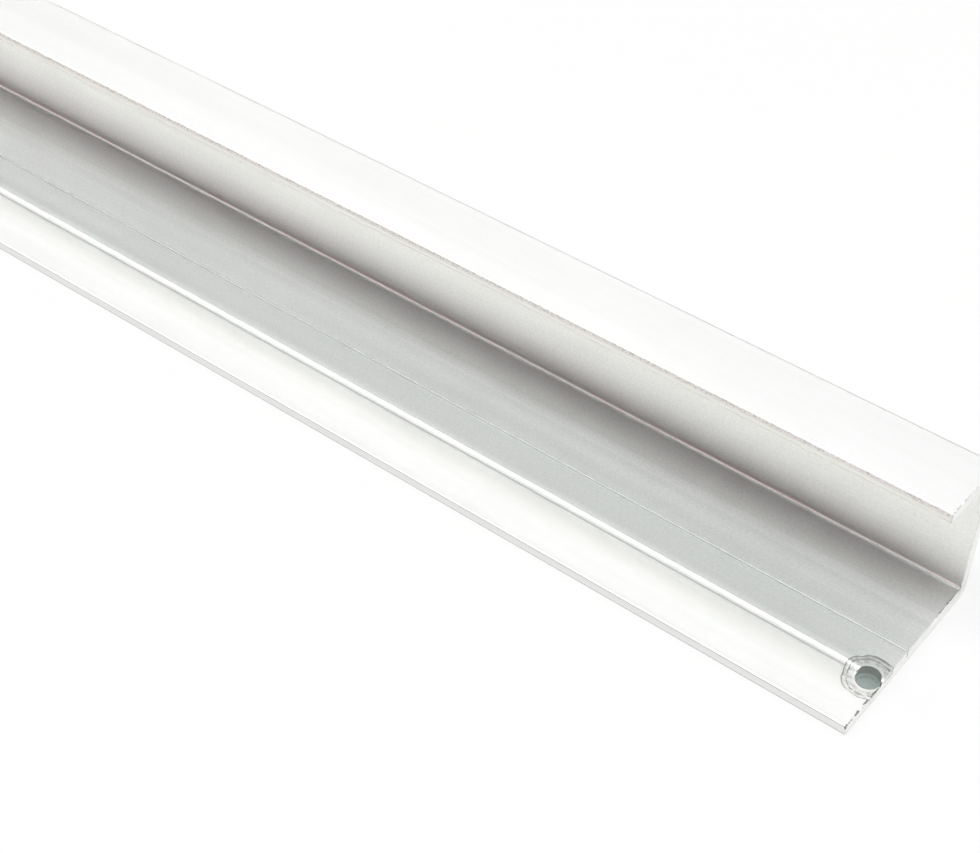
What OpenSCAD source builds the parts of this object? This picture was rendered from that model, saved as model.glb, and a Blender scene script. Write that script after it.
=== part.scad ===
// Channel bar in extruded aluminium, lying on its base flange.
// X runs along the bar, Y from the front edge to the back of the web, and Z up.
// The origin is on the underside, at the middle of the bar's length and width.

/* [Bar] */
// Length of the bar
bar_length = 500; // [100:10:3000]
// Width of the section, from the front edge to the back of the web
section_width = 30; // [26:0.5:50]
// Height of the section, from the underside to the top of the lip
section_height = 23; // [14:0.5:40]

/* [Base flange] */
// Thickness of the thin strip along the front edge
strip_thickness = 1.5; // [1:0.1:1.8]
// Thickness of the panel behind the step
panel_thickness = 2.2; // [2:0.1:3.5]
// Distance from the front edge to the foot of the step
step_distance = 8.3; // [6:0.1:10]
// Distance from the foot of the step to the middle of the guide groove
groove_distance = 6.3; // [5:0.1:8]
// Width of the guide groove
groove_width = 0.4; // [0.3:0.1:1]
// Depth of the guide groove
groove_depth = 0.1; // [0.1:0.05:0.6]

/* [Web and lip] */
// Thickness of the upright web
web_thickness = 1.8; // [1.2:0.1:3]
// Depth of the lip, from its tip to the back of the web
lip_depth = 11.6; // [6:0.1:16]
// Thickness of the lip
lip_thickness = 1.6; // [1.2:0.1:3]

/* [Edges and corners] */
// Radius on the front edge of the base
front_radius = 0.2; // [0.1:0.05:0.5]
// Radius on the tip of the lip
lip_radius = 0.4; // [0.1:0.05:0.5]
// Radius of the fillets inside the channel
fillet_radius = 0.4; // [0.2:0.1:1.5]
// Radius on the outer corner at the heel of the web
heel_radius = 1; // [0.2:0.1:1.5]
// Radius on the outer corner at the top of the web
shoulder_radius = 0.6; // [0.2:0.1:1.5]

/* [Screw holes] */
// Diameter of the screw hole beside each sawn end
hole_diameter = 3.2; // [2.5:0.1:4.5]
// Thickness of the metal left between a screw hole and the sawn end
hole_end_wall = 0.2; // [0.2:0.1:20]
// Distance from the foot of the step forward to the middle of a screw hole
hole_step_distance = 0.1; // [0:0.1:2]
// Diameter of the shallow round seat pressed in about a screw hole
seat_diameter = 6.5; // [5.5:0.1:9]
// Depth of the seat, which follows the step
seat_depth = 0.1; // [0.05:0.05:0.4]

/* [Hidden] */
$fn = 96;
// How far a cut reaches past the metal that it opens
cut_past = 1;
// Heights and depths inside the section, measured from its front bottom corner
step_rise = panel_thickness - strip_thickness;
web_front = section_width - web_thickness;
lip_front = section_width - lip_depth;
lip_underside = section_height - lip_thickness;
// Place of the screw holes
hole_inset = hole_diameter / 2 + hole_end_wall;
hole_from_front = step_distance - hole_step_distance;

// Sliver between a right-angled corner at the origin and an arc that touches both its sides.
// It is added inside a corner as a fillet, and past the sides it is a cut that rounds an edge.
module corner_sliver(radius, past = 0) {
    difference() {
        translate([-past, -past]) square(radius + past);
        translate([radius, radius]) circle(radius);
    }
}

// Cut that rounds an outer edge. toward is 1 or -1 along Y and Z, from the edge into the metal.
module edge_round(corner, toward, radius) {
    translate(corner)
        mirror([toward[0] < 0 ? 1 : 0, 0])
            mirror([0, toward[1] < 0 ? 1 : 0])
                corner_sliver(radius, cut_past);
}

// Front strip and thicker panel, with the rounded step between them
module base_section() {
    square([section_width, strip_thickness]);
    difference() {
        translate([step_distance, 0]) square([section_width - step_distance, panel_thickness]);
        edge_round([step_distance, panel_thickness], [1, -1], step_rise);
    }
}

// Base with its underside carried well below the bar, so that its top alone shapes the seats
module seat_section() {
    base_section();
    translate([0, -panel_thickness]) square([section_width, panel_thickness + strip_thickness / 2]);
}

// Upright web with the lip at its top, and the fillets inside the channel
module web_section() {
    translate([web_front, 0]) square([web_thickness, section_height]);
    translate([lip_front, lip_underside]) square([lip_depth, lip_thickness]);
    translate([web_front, panel_thickness]) mirror([1, 0]) corner_sliver(fillet_radius);
    translate([web_front, lip_underside]) rotate(180) corner_sliver(fillet_radius);
}

// V-shaped line in the panel that guides a drill
module guide_groove() {
    translate([step_distance + groove_distance, panel_thickness])
        polygon([
            [0, -groove_depth],
            [groove_width / 2, 0],
            [groove_width / 2, cut_past],
            [-groove_width / 2, cut_past],
            [-groove_width / 2, 0]
        ]);
}

// Whole section, with its front bottom corner at the origin
module channel_section() {
    difference() {
        union() {
            base_section();
            web_section();
        }
        guide_groove();
        edge_round([0, 0], [1, 1], front_radius);
        edge_round([0, strip_thickness], [1, -1], front_radius);
        edge_round([lip_front, lip_underside], [1, 1], lip_radius);
        edge_round([lip_front, section_height], [1, -1], lip_radius);
        edge_round([section_width, 0], [-1, 1], heel_radius);
        edge_round([section_width, section_height], [-1, -1], shoulder_radius);
    }
}

// Section turned to stand across X and drawn out along the bar
module along_bar(length) {
    rotate([90, 0, 90]) linear_extrude(height = length, center = true) children();
}

// Upright cylinder through the base at both screw holes
module hole_cylinders(diameter) {
    for (end = [-1, 1])
        translate([end * (bar_length / 2 - hole_inset), hole_from_front, -cut_past])
            cylinder(d = diameter, h = panel_thickness + 2 * cut_past);
}

// Thin layer of the base's top that the seats take away, over the strip, the step and the panel
module pressed_seats() {
    difference() {
        hole_cylinders(seat_diameter);
        translate([0, 0, -seat_depth]) along_bar(bar_length + 2 * seat_diameter) seat_section();
    }
}

module extruded_channel() {
    color("silver")
        translate([0, -section_width / 2, 0])
            difference() {
                along_bar(bar_length) channel_section();
                pressed_seats();
                hole_cylinders(hole_diameter);
            }
}

extruded_channel();
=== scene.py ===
"""Looks of the aluminium channel bar, and the photograph's camera and light."""

import math
from types import SimpleNamespace

import bpy
from mathutils import Matrix, Vector


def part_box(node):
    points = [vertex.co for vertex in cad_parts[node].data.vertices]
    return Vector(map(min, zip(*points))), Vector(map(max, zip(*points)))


NODE = "extruded_channel"
MM = 0.001

# Camera, as it stood to the bar's near front bottom corner
PHOTO_WIDTH_PX = 980
FOCAL_LENGTH_PX = 2012.2
SENSOR_WIDTH_MM = 36.0
CLIP_START = 1 * MM
CAMERA_FROM_CORNER = Vector((56.69, -149.52, 188.12)) * MM
CAMERA_TURN = math.radians(36.612)
CAMERA_DIP = math.radians(42.365)
CAMERA_ROLL = math.radians(-2.074)

# Floor, which turns into a plain white backdrop away from the bar, and is painted grey where the bar covers
# it, as painted shade seen through the bar's holes
FLOOR_HALF_SIZE = 30.0
FLOOR_BELOW = 0.02 * MM
FLOOR_COLOUR = (0.6, 0.6, 0.595, 1.0)
COVERED_SHADE_COLOUR = (0.26, 0.295, 0.285, 1.0)
COVERED_INSET = 0.1 * MM
BACKDROP_START = 0.3
BACKDROP_END = 0.9
BACKDROP_SHARE_NEAR = 0.75

# Soft boxes hang along the bar: name, lean from the zenith towards the back, width, brightness, colour
SOFT_BOXES = (
    ("front box", math.radians(-14.2), 0.33, 8.7, (0.97, 1.0, 0.99)),
    ("back box", math.radians(27.7), 0.193, 3.15, (1.0, 0.96, 0.955)),
    ("low back box", math.radians(48), 0.14, 2.6, (1.0, 0.985, 0.985)),
)
BOX_DISTANCE = 1.0
BOX_LENGTH = 3.0
BOX_MIDDLE = 0.4

# Room: a dim one with a pale glow low in front of the bar, and a share of it behind
ROOM_DIM = 0.02
HORIZON_GLOW = 2.2
HORIZON_TOP = math.radians(26)
FRONT_TO_BACK = (-0.5, 0.5)
BACK_SHARE = 0.55
ROOM_COLOUR = (1.0, 0.82, 0.84, 1.0)

# Places on the bar in millimetres, from its front edge, its underside and the nearer sawn end
STRIP_TOP = 1.5
PANEL_TOP = 2.2
STEP_FOOT = 8.3
STEP_BACK = 9.0
GROOVE_MIDDLE = 14.6
GROOVE_HALF = 0.2
WEB_FRONT = 28.2
LIP_TIP = 18.4
LIP_RADIUS = 0.4
LIP_UNDERSIDE = 21.4
LIP_TOP = 23.0
BAR_BACK = 30.0
SHOULDER_RADIUS = 0.6
HOLE_FROM_END = 1.8
HOLE_FROM_FRONT = 8.2
HOLE_RADIUS = 1.6
SEAT_RADIUS = 3.25

# Bands from the front edge: start, end and soft edge in millimetres
STRIP_BACK_BAND = (5.8, STEP_FOOT - 0.3, 1.5)
FOOT_BAND = (STEP_FOOT - 0.16, STEP_FOOT, 0.05)
FOOT_SHADE_BAND = (STEP_FOOT - 0.3, STEP_FOOT, 0.5)
STEP_BAND = (STEP_FOOT + 0.02, STEP_BACK - 0.3, 0.1)
GROOVE_NEAR_BAND = (GROOVE_MIDDLE - GROOVE_HALF, GROOVE_MIDDLE, 0.02)
GROOVE_FAR_BAND = (GROOVE_MIDDLE, GROOVE_MIDDLE + GROOVE_HALF, 0.02)
PANEL_LIGHT_BAND = (20.8, 22.1, 0.5)
CORNER_END_BAND = (WEB_FRONT - 5.0, WEB_FRONT, 3.0)
FILLET_LOW_BAND = (WEB_FRONT - 0.4, WEB_FRONT - 0.19, 0.03)
FILLET_HIGHLIGHT_BAND = (WEB_FRONT - 0.14, WEB_FRONT - 0.04, 0.03)
WEB_EDGE_BAND = (WEB_FRONT, WEB_FRONT + 0.1, 0.05)

# Bands above the underside: start, end and soft edge in millimetres
FRONT_TOP_BAND = (STRIP_TOP - 0.2, STRIP_TOP - 0.12, 0.05)
PANEL_EDGE_BAND = (PANEL_TOP - 0.22, PANEL_TOP - 0.1, 0.06)
FILLET_BAND = (PANEL_TOP + 0.01, PANEL_TOP + 0.3, 0.04)
PITTED_BAND = (LIP_TOP - 0.6, LIP_TOP - 0.15, 0.1)

# Bands about the middle of a screw hole: start, end and soft edge in millimetres
SEAT_BAND = (HOLE_RADIUS + 0.4, SEAT_RADIUS - 0.1, 0.1)
INNER_RING_BAND = (2.66, 2.74, 0.06)
OUTER_RING_BAND = (SEAT_RADIUS - 0.08, SEAT_RADIUS + 0.02, 0.07)

# Soft limits from the front edge: where a change starts and ends in millimetres
FRONT_FACE = (0.15, 0.25)
STEP_RUN = (STEP_FOOT, STEP_BACK)
STRIP_END = (STEP_BACK - 0.6, STEP_BACK)
STEP_LIGHT_START = (STEP_BACK - 0.1, STEP_BACK + 0.1)
STEP_LIGHT_END = (STEP_BACK + 0.3, STEP_BACK + 1.2)
LIP_FACE = (LIP_TIP + LIP_RADIUS / 4, LIP_TIP + LIP_RADIUS)
CORNER_START = (WEB_FRONT - 4.5, WEB_FRONT - 1.5)
SHOULDER_START = (BAR_BACK - SHOULDER_RADIUS, BAR_BACK - SHOULDER_RADIUS / 2)

# Soft limits above the underside: where a change starts and ends in millimetres
LOW_EDGE = (0.1, 0.25)
FRONT_LOW_EDGE = (0.12, 0.3)
BORE_MIDDLE = (0.6, 0.9)
OFF_FLOOR = (0.9, 1.2)
CORNER_END_TOP = (PANEL_TOP + 0.3, PANEL_TOP + 1.0)
CORNER_TOP = (PANEL_TOP + 0.6, PANEL_TOP + 2.6)
LIP_END_LOW = (LIP_UNDERSIDE - 1.0, LIP_UNDERSIDE)
INSIDE_TOP = (LIP_UNDERSIDE - 0.8, LIP_UNDERSIDE - 0.4)
LIP_LOW = (LIP_UNDERSIDE - 0.5, LIP_UNDERSIDE - 0.3)
LIP_LOW_EDGE = (LIP_UNDERSIDE + 0.3, LIP_UNDERSIDE + 0.5)
LIP_MIDDLE = (LIP_UNDERSIDE + 0.4, LIP_UNDERSIDE + 0.9)
SCUFFS_LOW = (LIP_TOP - 0.9, LIP_TOP - 0.4)
SHOULDER_LOW = (LIP_TOP - SHOULDER_RADIUS, LIP_TOP - SHOULDER_RADIUS / 2)
LIP_TOP_EDGE = (LIP_TOP - 0.14, LIP_TOP - 0.06)

# Soft limits about the middle of a screw hole: where a change starts and ends in millimetres
BORE_RIM = (HOLE_RADIUS + 0.1, HOLE_RADIUS + 0.2)
SEAT_RIM = (SEAT_RADIUS - 0.1, SEAT_RADIUS + 0.1)

# How far a face turns to X, Y or Z before it counts as sawn, upright or level
SAWN_TURN = (0.6, 0.8)
UPRIGHT_TURN = (0.6, 0.9)
LEVEL_TURN = (0.4, 0.7)

# Uneven lines in millimetres: how far they wander, and the burr's depth on the panel and on the strip
RING_WANDER = 0.5
BURR_WANDER = 0.5
BURR_DEPTH = (0.15, 0.3)
BURR_SOFT = 0.1

# Noise: size of its grains along X, Y and Z in millimetres, and its detail
NOISE_MIDDLE = 0.5
WIDE_STREAKS = ((240, 2.4, 2.4), 3.0)
FINE_STREAKS = ((70, 0.22, 0.22), 2.0)
CLOUDS = ((16, 5, 5), 2.0)
GRAIN = ((0.45, 0.2, 0.2), 2.0)
SPECKS = ((0.7, 0.5, 0.5), 1.0)
RING_WOBBLE = ((1.7, 1.7, 1.7), 1.0)
RING_BREAKS = ((0.9, 0.9, 0.9), 1.0)
SEAT_MOTTLE = ((0.8, 0.5, 0.5), 2.0)
SCUFFS = ((0.35, 0.2, 0.2), 1.0)
PITS = ((0.3, 0.16, 0.16), 1.0)
BURR_BREAKS = ((1.0, 0.8, 0.8), 2.0)
BURR_TEAR = ((0.6, 0.6, 0.6), 2.0)
EDGE_SPECKLE = ((0.4, 0.4, 0.4), 1.0)

# Levels of noise between which a mark comes in
SPECK_LEVELS = (0.78, 0.84)
RING_BREAK_LEVELS = (0.38, 0.5)
MOTTLE_LEVELS = (0.35, 0.65)
SCUFF_LEVELS = (0.35, 0.65)
PIT_LEVELS = (0.55, 0.62)
BURR_BREAK_LEVELS = (0.4, 0.55)
SPECKLE_LEVELS = (0.38, 0.55)

# Change of brightness that the noise makes, and for two of them the stronger one inside the channel
WIDE_STREAK_SPREAD = 0.11
CLOUD_SPREAD = 0.05
FINE_STREAK_SPREADS = (0.03, 0.1)
GRAIN_SPREADS = (0.06, 0.32)

# Brightness that each mark leaves, as a share of the metal's own. Apart from specks, rings, mottle, scuffs,
# pits and the sawn faces' edges, the marks are painted shade and painted light, the burr's in part
SHARE = SimpleNamespace(
    specks=0.85,
    rings=0.5,
    mottle=(0.72, 0.98),
    bore=(0.95, 0.6),
    foot=0.72,
    foot_shade=0.9,
    step_light=1.1,
    strip_back=1.035,
    front=0.95,
    front_low_shade=0.7,
    front_top_shade=0.8,
    groove_far_shade=0.25,
    groove_near_highlight=1.1,
    panel_light_band=1.06,
    shoulder_highlight=1.15,
    lip=(0.92, 0.87),
    lip_low_shade=0.76,
    scuffs=0.88,
    pits=0.74,
    corner=0.93,
    fillet_highlight=1.2,
    fillet_low_shade=0.78,
    burr=(0.3, 0.6),
    upper_edges=0.6,
    base_edges=0.74,
)

# Finish: the metal's colours, in which the warm and cool tints by facing and the step's tint are painted
# light colour
COOL_METAL_AND_LIGHT = (0.83, 0.853, 0.85, 1.0)
WARM_LIGHT_TINT = (0.855, 0.842, 0.815, 1.0)
STEP_LIGHT_TINT = (0.83, 0.862, 0.853, 1.0)
SAWN_METAL = (0.865, 0.872, 0.858, 1.0)
FRONT_LIGHT_WARMTH = 0.5
STRIP_LIGHT_WARMTH = 0.4
ROUGHNESS = 0.42
ROUGHNESS_SPREAD = 0.1
SAWN_ROUGHER = 0.12
LIP_AND_STEP_ROUGHER = 0.2
RELIEF_DEPTH = 0.003 * MM

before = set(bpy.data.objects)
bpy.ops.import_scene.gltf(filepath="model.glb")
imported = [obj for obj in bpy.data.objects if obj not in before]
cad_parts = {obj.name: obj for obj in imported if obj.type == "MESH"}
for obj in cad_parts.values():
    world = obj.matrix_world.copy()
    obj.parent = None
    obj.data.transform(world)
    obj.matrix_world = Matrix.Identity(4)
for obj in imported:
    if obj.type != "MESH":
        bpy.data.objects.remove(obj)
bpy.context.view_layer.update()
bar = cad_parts[NODE]
bar_low, bar_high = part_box(NODE)


class Graph:
    """Node tree that is written as sums: most calls add one node and give its output."""

    def __init__(self, tree):
        self.tree = tree
        tree.nodes.clear()

    def add(self, kind, inputs=None, **settings):
        node = self.tree.nodes.new(kind)
        for name, value in settings.items():
            setattr(node, name, value)
        for name, value in (inputs or {}).items():
            self.feed(node.inputs[name], value)
        return node

    def feed(self, socket, value):
        if isinstance(value, bpy.types.NodeSocket):
            self.tree.links.new(value, socket)
        else:
            socket.default_value = value

    def math(self, operation, *values):
        node = self.add("ShaderNodeMath", operation=operation)
        for socket, value in zip(node.inputs, values):
            self.feed(socket, value)
        return node.outputs[0]

    def product(self, first, *others):
        for other in others:
            first = self.math("MULTIPLY", first, other)
        return first

    def most(self, first, *others):
        for other in others:
            first = self.math("MAXIMUM", first, other)
        return first

    def inverse(self, mask):
        return self.math("SUBTRACT", 1.0, mask)

    def fade(self, value, start, end, first=0.0, last=1.0):
        """Smooth change from first to last while the value goes from start to end."""
        inputs = {"Value": value, "From Min": start, "From Max": end, "To Min": first, "To Max": last}
        return self.add("ShaderNodeMapRange", inputs, interpolation_type="SMOOTHSTEP").outputs["Result"]

    def fall(self, value, start, end):
        """Smooth change from one to nought while the value goes from start to end."""
        return self.fade(value, start, end, 1.0, 0.0)

    def band(self, value, start, end, soft):
        """One from start to end, and nought beyond the soft edges outside them."""
        return self.product(self.fade(value, start - soft, start), self.fall(value, end, end + soft))

    def shaded(self, mask, share):
        """Factor that is one off the mask and the share on it."""
        return self.math("MULTIPLY_ADD", mask, self.math("SUBTRACT", share, 1.0), 1.0)

    def vary(self, value, noise, amount):
        """Value with some of the noise added, evenly to both sides."""
        return self.math("MULTIPLY_ADD", self.math("SUBTRACT", noise, NOISE_MIDDLE), amount, value)

    def noise(self, place, size, detail):
        """Noise with grains of a given size along X, Y and Z."""
        scaled = self.add("ShaderNodeVectorMath", operation="DIVIDE")
        self.feed(scaled.inputs[0], place)
        self.feed(scaled.inputs[1], size)
        inputs = {"Vector": scaled.outputs[0], "Scale": 1.0, "Detail": detail}
        return self.add("ShaderNodeTexNoise", inputs).outputs["Fac"]

    def spots(self, place, grains, levels):
        """Marks that come in while the noise goes through the levels."""
        return self.fade(self.noise(place, *grains), *levels)

    def scale(self, vector, factor):
        node = self.add("ShaderNodeVectorMath", {"Scale": factor}, operation="SCALE")
        self.feed(node.inputs[0], vector)
        return node.outputs[0]

    def mix(self, share, first, second):
        node = self.add("ShaderNodeMix", {"Factor": share}, data_type="RGBA")
        colours = [socket for socket in node.inputs if socket.type == "RGBA"]
        self.feed(colours[0], first)
        self.feed(colours[1], second)
        return next(socket for socket in node.outputs if socket.type == "RGBA")

    def split(self, vector):
        return self.add("ShaderNodeSeparateXYZ", {"Vector": vector}).outputs


def make_camera():
    """Camera at the photograph's place, with its small roll about the line of sight."""
    turn_sin, turn_cos = math.sin(CAMERA_TURN), math.cos(CAMERA_TURN)
    dip_sin, dip_cos = math.sin(CAMERA_DIP), math.cos(CAMERA_DIP)
    forward = Vector((-turn_sin * dip_cos, turn_cos * dip_cos, -dip_sin))
    level_right = Vector((turn_cos, turn_sin, 0.0))
    level_up = level_right.cross(forward)
    right = level_right * math.cos(CAMERA_ROLL) - level_up * math.sin(CAMERA_ROLL)
    up = level_right * math.sin(CAMERA_ROLL) + level_up * math.cos(CAMERA_ROLL)
    corner = Vector((bar_high.x, bar_low.y, bar_low.z))
    data = bpy.data.cameras.new("camera")
    data.sensor_width = SENSOR_WIDTH_MM
    data.lens = FOCAL_LENGTH_PX / PHOTO_WIDTH_PX * SENSOR_WIDTH_MM
    data.clip_start = CLIP_START
    camera = bpy.data.objects.new("camera", data)
    bpy.context.scene.collection.objects.link(camera)
    axes = Matrix((right, up, -forward)).transposed()
    camera.matrix_world = Matrix.Translation(corner + CAMERA_FROM_CORNER) @ axes.to_4x4()
    bpy.context.scene.camera = camera


def make_floor():
    mesh = bpy.data.meshes.new("floor")
    half = FLOOR_HALF_SIZE
    corners = [(-half, -half, 0.0), (half, -half, 0.0), (half, half, 0.0), (-half, half, 0.0)]
    mesh.from_pydata(corners, [], [(0, 1, 2, 3)])
    floor = bpy.data.objects.new("floor", mesh)
    floor.location.z = bar_low.z - FLOOR_BELOW
    bpy.context.scene.collection.objects.link(floor)
    mesh.materials.append(make_floor_paint())


def make_floor_paint():
    """White paint that keeps the bar's shadow near it and is a plain backdrop further out, with painted grey
    shade where the bar covers it.
    """
    material = bpy.data.materials.new("floor")
    material.use_nodes = True
    graph = Graph(material.node_tree)
    x, y, _ = graph.split(graph.add("ShaderNodeTexCoord").outputs["Object"])
    covered_x = graph.math("LESS_THAN", graph.math("ABSOLUTE", x), bar_high.x - COVERED_INSET)
    covered_y = graph.math("LESS_THAN", graph.math("ABSOLUTE", y), bar_high.y - COVERED_INSET)
    covered = graph.product(covered_x, covered_y)
    rays = graph.add("ShaderNodeLightPath").outputs
    seen = graph.math("ADD", rays["Is Camera Ray"], rays["Is Glossy Ray"])
    seen = graph.math("MINIMUM", graph.math("ADD", seen, rays["Is Transmission Ray"]), 1.0)
    away = graph.math("SQRT", graph.math("ADD", graph.product(x, x), graph.product(y, y)))
    plain = graph.fade(away, BACKDROP_START, BACKDROP_END, BACKDROP_SHARE_NEAR, 1.0)
    plain = graph.product(plain, seen, graph.inverse(covered))
    # grey under the bar's footprint is painted shade, seen only through the bar's holes
    lit = graph.add("ShaderNodeBsdfDiffuse", {"Color": graph.mix(covered, FLOOR_COLOUR, COVERED_SHADE_COLOUR)})
    backdrop = graph.add("ShaderNodeEmission", {"Strength": 1.0})
    blend = graph.add("ShaderNodeMixShader", {"Fac": plain})
    graph.feed(blend.inputs[1], lit.outputs[0])
    graph.feed(blend.inputs[2], backdrop.outputs[0])
    graph.add("ShaderNodeOutputMaterial", {"Surface": blend.outputs[0]})
    return material


def make_soft_boxes():
    for name, lean, width, brightness, colour in SOFT_BOXES:
        data = bpy.data.lights.new(name, "AREA")
        data.color = colour
        data.shape = "RECTANGLE"
        data.size = BOX_LENGTH
        data.size_y = width
        data.energy = math.pi * BOX_LENGTH * width * brightness
        box = bpy.data.objects.new(name, data)
        box.location = (BOX_MIDDLE, BOX_DISTANCE * math.sin(lean), BOX_DISTANCE * math.cos(lean))
        box.rotation_euler = (-lean, 0.0, 0.0)
        bpy.context.scene.collection.objects.link(box)


def make_room():
    world = bpy.data.worlds.new("studio")
    world.use_nodes = True
    bpy.context.scene.world = world
    graph = Graph(world.node_tree)
    _, y, z = graph.split(graph.add("ShaderNodeTexCoord").outputs["Generated"])
    low = graph.fade(z, 0.0, math.sin(HORIZON_TOP), HORIZON_GLOW, 0.0)
    in_front = graph.fade(y, *FRONT_TO_BACK, 1.0, BACK_SHARE)
    strength = graph.math("MULTIPLY_ADD", low, in_front, ROOM_DIM)
    background = graph.add("ShaderNodeBackground", {"Color": ROOM_COLOUR, "Strength": strength})
    graph.add("ShaderNodeOutputWorld", {"Surface": background.outputs[0]})


def find_places(graph):
    """Where a point lies on the bar, in millimetres, and which way its face looks."""
    coordinates = graph.add("ShaderNodeTexCoord").outputs
    at = SimpleNamespace(place=graph.scale(coordinates["Object"], 1 / MM))
    x, y, z = graph.split(at.place)
    normal_x, normal_y, normal_z = graph.split(coordinates["Normal"])
    at.from_end = graph.math("SUBTRACT", bar_high.x / MM, graph.math("ABSOLUTE", x))
    at.from_front = graph.math("SUBTRACT", y, bar_low.y / MM)
    at.height = graph.math("SUBTRACT", z, bar_low.z / MM)
    at.sawn = graph.fade(graph.math("ABSOLUTE", normal_x), *SAWN_TURN)
    at.upright = graph.fade(graph.math("ABSOLUTE", normal_y), *UPRIGHT_TURN)
    at.level = graph.fade(graph.math("ABSOLUTE", normal_z), *LEVEL_TURN)
    at.off_floor = graph.fade(at.height, *OFF_FLOOR)
    # painted light: the strip just in front of the step is made brighter and warmer
    at.strip_back = graph.product(graph.band(at.from_front, *STRIP_BACK_BAND), at.off_floor)
    at.step = graph.product(graph.band(at.from_front, *STEP_BAND), at.off_floor)
    at.lip = graph.product(graph.fall(at.from_front, *LIP_FACE), graph.fade(at.height, *LIP_LOW))
    at.inside = graph.product(graph.fade(at.from_front, *STEP_RUN), graph.fall(at.height, *INSIDE_TOP))
    across = graph.math("SUBTRACT", at.from_end, HOLE_FROM_END)
    along = graph.math("SUBTRACT", at.from_front, HOLE_FROM_FRONT)
    squares = graph.math("ADD", graph.product(across, across), graph.product(along, along))
    at.from_hole = graph.math("SQRT", squares)
    return at


def shade_hole(graph, at):
    """Uneven pressed rings about a screw hole, its mottled seat, and painted shade on the walls of its bore,
    darker towards the top.
    """
    radius = graph.vary(at.from_hole, graph.noise(at.place, *RING_WOBBLE), RING_WANDER)
    breaks = graph.spots(at.place, RING_BREAKS, RING_BREAK_LEVELS)
    inner = graph.product(graph.band(radius, *INNER_RING_BAND), breaks)
    rings = graph.product(graph.most(graph.band(radius, *OUTER_RING_BAND), inner), at.off_floor)
    seat = graph.product(graph.band(at.from_hole, *SEAT_BAND), at.off_floor)
    mottle = graph.fade(graph.noise(at.place, *SEAT_MOTTLE), *MOTTLE_LEVELS, *SHARE.mottle)
    # painted shade on the bore's walls, darker towards the top
    bore = graph.product(graph.fall(at.from_hole, *BORE_RIM), graph.inverse(at.level))
    bore_shade_share = graph.fade(at.height, *BORE_MIDDLE, *SHARE.bore)
    return graph.product(
        graph.shaded(rings, SHARE.rings),
        graph.shaded(seat, mottle),
        graph.shaded(bore, bore_shade_share),
    )


def shade_step(graph, at):
    """Painted shade at the step's foot and on the strip just in front of it, a painted brightening of the
    strip further in front, and painted light behind the step.
    """
    around = graph.product(at.off_floor, graph.fade(at.from_hole, *SEAT_RIM))
    # painted shade: a dark line at the step's foot and a dimmer band on the strip in front of it
    foot = graph.product(graph.band(at.from_front, *FOOT_BAND), around)
    foot_shade = graph.product(graph.band(at.from_front, *FOOT_SHADE_BAND), around)
    # painted light: a brighter band on the panel just behind the step
    step_light = graph.fade(at.from_front, *STEP_LIGHT_START)
    step_light = graph.product(step_light, graph.fall(at.from_front, *STEP_LIGHT_END), around)
    return graph.product(
        graph.shaded(foot, SHARE.foot),
        graph.shaded(foot_shade, SHARE.foot_shade),
        graph.shaded(step_light, SHARE.step_light),
        graph.shaded(at.strip_back, SHARE.strip_back),
    )


def shade_lines(graph, at):
    """Painted shade on the front face and along its top and bottom edges, painted shade and a painted
    highlight on the two sides of the guide groove, a painted band of light on the panel and a painted
    highlight on the rounded edge of the back.
    """
    # painted shade on the front face, darker still along its bottom and top edges
    front = graph.fall(at.from_front, *FRONT_FACE)
    front_low_shade = graph.product(front, graph.fall(at.height, *FRONT_LOW_EDGE))
    front_top_shade = graph.product(front, graph.band(at.height, *FRONT_TOP_BAND))
    # painted shade on the groove's far side and a painted highlight on its near side
    groove_far_shade = graph.product(graph.band(at.from_front, *GROOVE_FAR_BAND), at.off_floor)
    groove_near_highlight = graph.product(graph.band(at.from_front, *GROOVE_NEAR_BAND), at.off_floor)
    # painted light: a brighter band across the panel under the lip
    panel_light_band = graph.product(graph.band(at.from_front, *PANEL_LIGHT_BAND), at.off_floor, at.inside)
    # painted highlight on the rounded back edge of the top
    shoulder_highlight = graph.product(graph.fade(at.from_front, *SHOULDER_START), graph.fade(at.height, *SHOULDER_LOW))
    return graph.product(
        graph.shaded(front, SHARE.front),
        graph.shaded(front_low_shade, SHARE.front_low_shade),
        graph.shaded(front_top_shade, SHARE.front_top_shade),
        graph.shaded(groove_far_shade, SHARE.groove_far_shade),
        graph.shaded(groove_near_highlight, SHARE.groove_near_highlight),
        graph.shaded(panel_light_band, SHARE.panel_light_band),
        graph.shaded(shoulder_highlight, SHARE.shoulder_highlight),
    )


def shade_lip(graph, at):
    """Painted shade on the face of the lip, darker still along its lower edge, and scuffs and pits along the
    upper one.
    """
    # painted shade on the lip's face, and more of it along its lower edge
    lip_shade_share = graph.fade(at.height, *LIP_MIDDLE, *SHARE.lip)
    lip_low_shade = graph.product(at.lip, graph.fall(at.height, *LIP_LOW_EDGE))
    scuffs = graph.spots(at.place, SCUFFS, SCUFF_LEVELS)
    scuffs = graph.product(at.lip, scuffs, graph.fade(at.height, *SCUFFS_LOW))
    pits = graph.spots(at.place, PITS, PIT_LEVELS)
    pits = graph.product(at.lip, pits, graph.band(at.height, *PITTED_BAND))
    return graph.product(
        graph.shaded(at.lip, lip_shade_share),
        graph.shaded(lip_low_shade, SHARE.lip_low_shade),
        graph.shaded(scuffs, SHARE.scuffs),
        graph.shaded(pits, SHARE.pits),
    )


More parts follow.
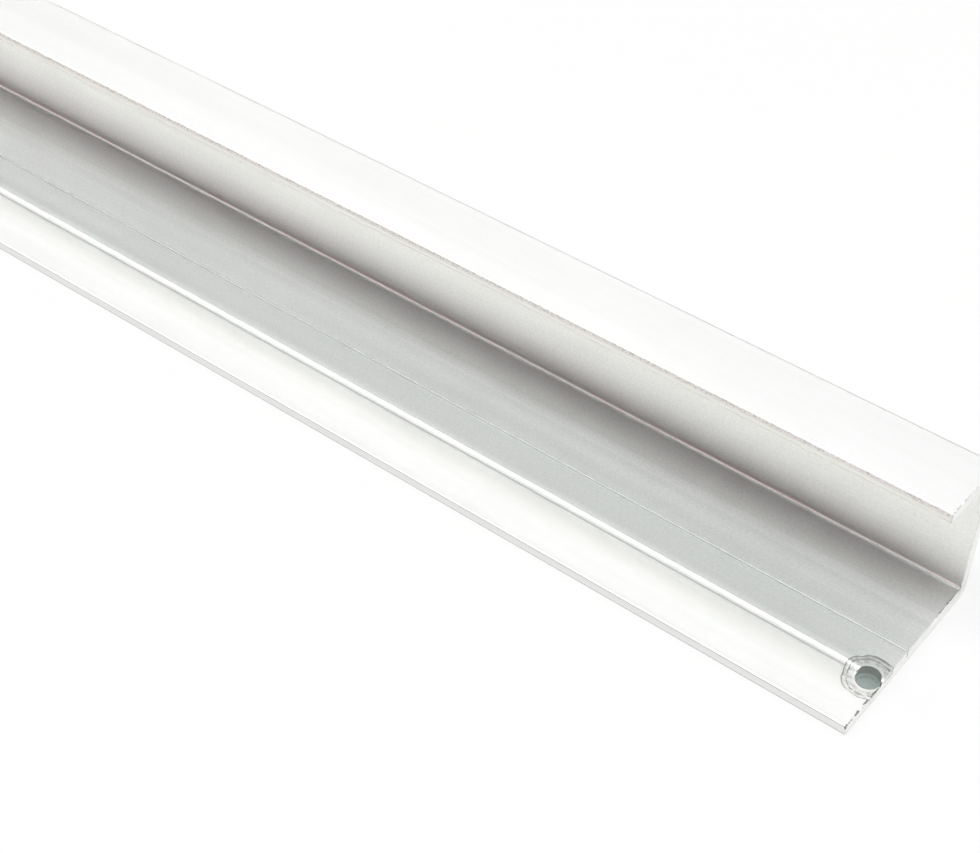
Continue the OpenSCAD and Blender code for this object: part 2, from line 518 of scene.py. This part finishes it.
def shade_corner(graph, at):
    """Painted shade in the corner at the web's foot, with a painted highlight on its fillet and a line of
    painted shade in front of it.
    """
    # painted shade in the corner at the web's foot
    corner = graph.fade(at.from_front, *CORNER_START)
    corner = graph.product(corner, graph.fall(at.height, *CORNER_TOP), at.off_floor)
    fillet = graph.band(at.height, *FILLET_BAND)
    # painted highlight on the fillet, and painted shade just in front of it
    fillet_highlight = graph.product(fillet, graph.band(at.from_front, *FILLET_HIGHLIGHT_BAND))
    fillet_low_shade = graph.product(fillet, graph.band(at.from_front, *FILLET_LOW_BAND))
    return graph.product(
        graph.shaded(corner, SHARE.corner),
        graph.shaded(fillet_highlight, SHARE.fillet_highlight),
        graph.shaded(fillet_low_shade, SHARE.fillet_low_shade),
    )


def shade_ends(graph, at):
    """Broken burr beside the sawn ends, painted dark as the shade it casts, and the dark edges of the sawn
    faces.
    """
    breaks = graph.spots(at.place, BURR_BREAKS, BURR_BREAK_LEVELS)
    strip_end = graph.fall(at.from_front, *STRIP_END)
    corner_end = graph.band(at.from_front, *CORNER_END_BAND)
    corner_end = graph.product(corner_end, graph.fall(at.height, *CORNER_END_TOP))
    lip_end = graph.fade(at.height, *LIP_END_LOW)
    torn = graph.vary(at.from_end, graph.noise(at.place, *BURR_TEAR), BURR_WANDER)
    depth = graph.fade(strip_end, 0.0, 1.0, *BURR_DEPTH)
    # the burr is real, and its dark colour is painted shade
    burr = graph.fall(torn, graph.math("SUBTRACT", depth, BURR_SOFT), depth)
    burr = graph.product(burr, graph.most(strip_end, corner_end, lip_end), breaks)
    burr = graph.product(burr, at.off_floor, graph.inverse(at.sawn))
    burr_shade_share = graph.fade(lip_end, 0.0, 1.0, *SHARE.burr)
    upper_edges = graph.most(graph.band(at.from_front, *WEB_EDGE_BAND), graph.fade(at.height, *LIP_TOP_EDGE))
    upper_edges = graph.product(upper_edges, at.sawn, breaks)
    base_edges = graph.most(graph.band(at.height, *PANEL_EDGE_BAND), graph.fall(at.height, *LOW_EDGE))
    speckle = graph.spots(at.place, EDGE_SPECKLE, SPECKLE_LEVELS)
    base_edges = graph.product(base_edges, at.sawn, speckle)
    return graph.product(
        graph.shaded(burr, burr_shade_share),
        graph.shaded(upper_edges, SHARE.upper_edges),
        graph.shaded(base_edges, SHARE.base_edges),
    )


def find_tint(graph, at):
    """Colour of the metal, paler where it is sawn; the cool tint on level faces, the warmer one on upright
    faces, the lip and the strip in front of the step, and the step's own tint are painted light colour.
    """
    upright = graph.product(at.upright, graph.fade(at.from_front, *STEP_RUN, FRONT_LIGHT_WARMTH, 1.0))
    # painted light colour: warmer on upright faces, the lip and the strip in front of the step
    warm_light = graph.most(upright, graph.product(at.strip_back, STRIP_LIGHT_WARMTH), at.lip)
    tint = graph.mix(at.step, graph.mix(warm_light, COOL_METAL_AND_LIGHT, WARM_LIGHT_TINT), STEP_LIGHT_TINT)
    return graph.mix(at.sawn, tint, SAWN_METAL)


def make_finish():
    """Satin anodised aluminium with die lines along the bar, bare sawn ends, marks of handling, and painted
    light and shade.
    """
    material = bpy.data.materials.new("anodised_aluminium")
    material.use_nodes = True
    graph = Graph(material.node_tree)
    at = find_places(graph)
    wide_streaks = graph.noise(at.place, *WIDE_STREAKS)
    fine_streaks = graph.noise(at.place, *FINE_STREAKS)
    clouds = graph.noise(at.place, *CLOUDS)
    grain = graph.noise(at.place, *GRAIN)
    grainy = graph.most(at.inside, at.sawn)
    shade = graph.vary(1.0, wide_streaks, WIDE_STREAK_SPREAD)
    shade = graph.vary(shade, clouds, CLOUD_SPREAD)
    shade = graph.vary(shade, fine_streaks, graph.fade(at.inside, 0.0, 1.0, *FINE_STREAK_SPREADS))
    shade = graph.vary(shade, grain, graph.fade(grainy, 0.0, 1.0, *GRAIN_SPREADS))
    shade = graph.product(shade, graph.shaded(graph.spots(at.place, SPECKS, SPECK_LEVELS), SHARE.specks))
    # the marks hold painted light and shade besides wear
    for shade_marks in (shade_hole, shade_step, shade_lines, shade_lip, shade_corner, shade_ends):
        shade = graph.product(shade, shade_marks(graph, at))
    rough = graph.vary(ROUGHNESS, wide_streaks, ROUGHNESS_SPREAD)
    rough = graph.vary(rough, grain, ROUGHNESS_SPREAD)
    rough = graph.math("MULTIPLY_ADD", at.sawn, SAWN_ROUGHER, rough)
    rough = graph.math("MULTIPLY_ADD", graph.most(at.lip, at.step), LIP_AND_STEP_ROUGHER, rough)
    relief = graph.math("ADD", fine_streaks, grain)
    bump = graph.add("ShaderNodeBump", {"Height": relief, "Distance": RELIEF_DEPTH, "Strength": 1.0})
    metal = graph.add("ShaderNodeBsdfPrincipled", {"Metallic": 1.0, "Roughness": rough})
    graph.feed(metal.inputs["Base Color"], graph.scale(find_tint(graph, at), shade))
    graph.feed(metal.inputs["Normal"], bump.outputs[0])
    graph.add("ShaderNodeOutputMaterial", {"Surface": metal.outputs[0]})
    return material


make_camera()
make_floor()
make_soft_boxes()
make_room()
bar.data.materials.clear()
bar.data.materials.append(make_finish())

bpy.context.scene.view_settings.view_transform = "Standard"
